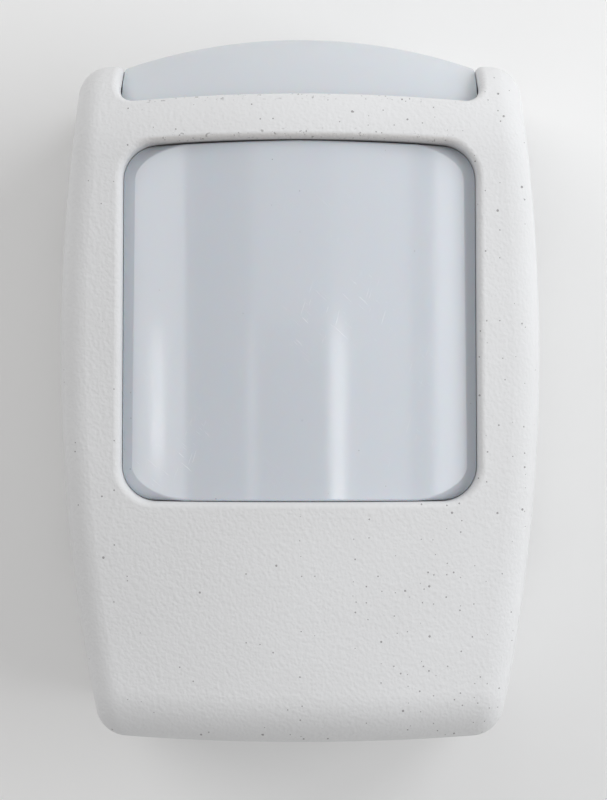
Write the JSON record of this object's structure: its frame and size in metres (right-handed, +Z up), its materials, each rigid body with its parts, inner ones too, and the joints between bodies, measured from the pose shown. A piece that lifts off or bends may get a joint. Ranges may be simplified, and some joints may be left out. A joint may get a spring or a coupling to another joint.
{
  "type": "motion sensor",
  "caption": "Wall-mounted passive infrared motion sensor: barrel-shaped cover with a large curved lens, an arched upper lens between two ears, and a hinged front.",
  "frame": {"origin": "centre of the rear mounting face", "axes": "+Z up as installed, +Y into the wall, the lens looks along -Y, +X to the right seen from the front"},
  "size_m": [0.0712, 0.042, 0.0995],
  "materials": {
    "cover_plastic": "fine moulded grain, warm off-white",
    "base_plastic": "fine moulded grain, off-white",
    "lens_plastic": "smooth, glossy, bluish translucent polyethylene",
    "upper_lens_plastic": "satin, bluish translucent polyethylene",
    "retainer_plastic": "plain moulded",
    "board_laminate": "green solder mask",
    "screw_steel": "zinc plated",
    "can_metal": "nickel plated",
    "infrared_filter": "dark filter",
    "tinned_metal": "tin plated",
    "shield_plastic": "plain moulded white",
    "clear_acrylic": "clear",
    "led_epoxy": "tinted epoxy",
    "terminal_plastic": "green moulded",
    "clamp_metal": "nickel plated",
    "relay_case": "smooth ivory",
    "chip_epoxy": "moulded black epoxy",
    "capacitor_sleeve": "shrink sleeve",
    "capacitor_ceramic": "tan ceramic",
    "resistor_ceramic": "black coated",
    "varistor_coating": "dipped blue",
    "header_plastic": "black moulded",
    "gold_pin": "gold plated",
    "jumper_plastic": "red moulded",
    "trimmer_plastic": "blue moulded",
    "rotor_plastic": "white moulded",
    "switch_plastic": "black moulded",
    "plunger_plastic": "white moulded",
    "spring_steel": "drawn wire"
  },
  "bodies": {
    "root": {"rear_base": "base_plastic", "board_screw": "screw_steel"},
    "cover": {"front_cover": "cover_plastic", "main_lens": "lens_plastic", "lens_retainer": "retainer_plastic", "upper_lens": "upper_lens_plastic"},
    "board": {"circuit_board": "board_laminate", "pyro_can": "can_metal", "pyro_filter": "infrared_filter", "pyro_leads": "tinned_metal", "sensor_shield": "shield_plastic", "light_guide": "clear_acrylic", "indicator_leds": "led_epoxy", "terminal_housing": "terminal_plastic", "terminal_clamps": "clamp_metal", "terminal_screws": "screw_steel", "alarm_relay": "relay_case", "controller_chip": "chip_epoxy", "amplifier_chip": "chip_epoxy", "chip_legs": "tinned_metal", "timing_crystal": "can_metal", "electrolytic_capacitors": "capacitor_sleeve", "ceramic_capacitors": "capacitor_ceramic", "resistors": "resistor_ceramic", "varistors": "varistor_coating", "jumper_header": "header_plastic", "jumper_pins": "gold_pin", "jumper_caps": "jumper_plastic", "trimmer_body": "trimmer_plastic", "tamper_body": "switch_plastic", "tamper_spring": "spring_steel"},
    "trimmer": {"trimmer_rotor": "rotor_plastic"},
    "plunger": {"tamper_plunger": "plunger_plastic"}
  },
  "joints": [
    {"name": "cover_open", "type": "hinge", "parent": "root", "child": "cover", "pos_m": [0, -0.0134, 0.0405], "axis": [-1, 0, 0], "range_deg": [0, 25]},
    {"name": "board_slide", "type": "slide", "parent": "root", "child": "board", "axis": [0, 0, 1], "range_m": [-0.003, 0.003]},
    {"name": "trimmer_turn", "type": "hinge", "parent": "board", "child": "trimmer", "pos_m": [0.017, -0.0134, 0.004], "axis": [0, -1, 0], "range_deg": [-135, 135]},
    {"name": "tamper_press", "type": "slide", "parent": "board", "child": "plunger", "axis": [0, 1, 0], "range_m": [0, 0.0015], "stiffness_N_per_m": 400, "springref_m": -0.0005, "deforming": ["tamper_spring"]}
  ]
}
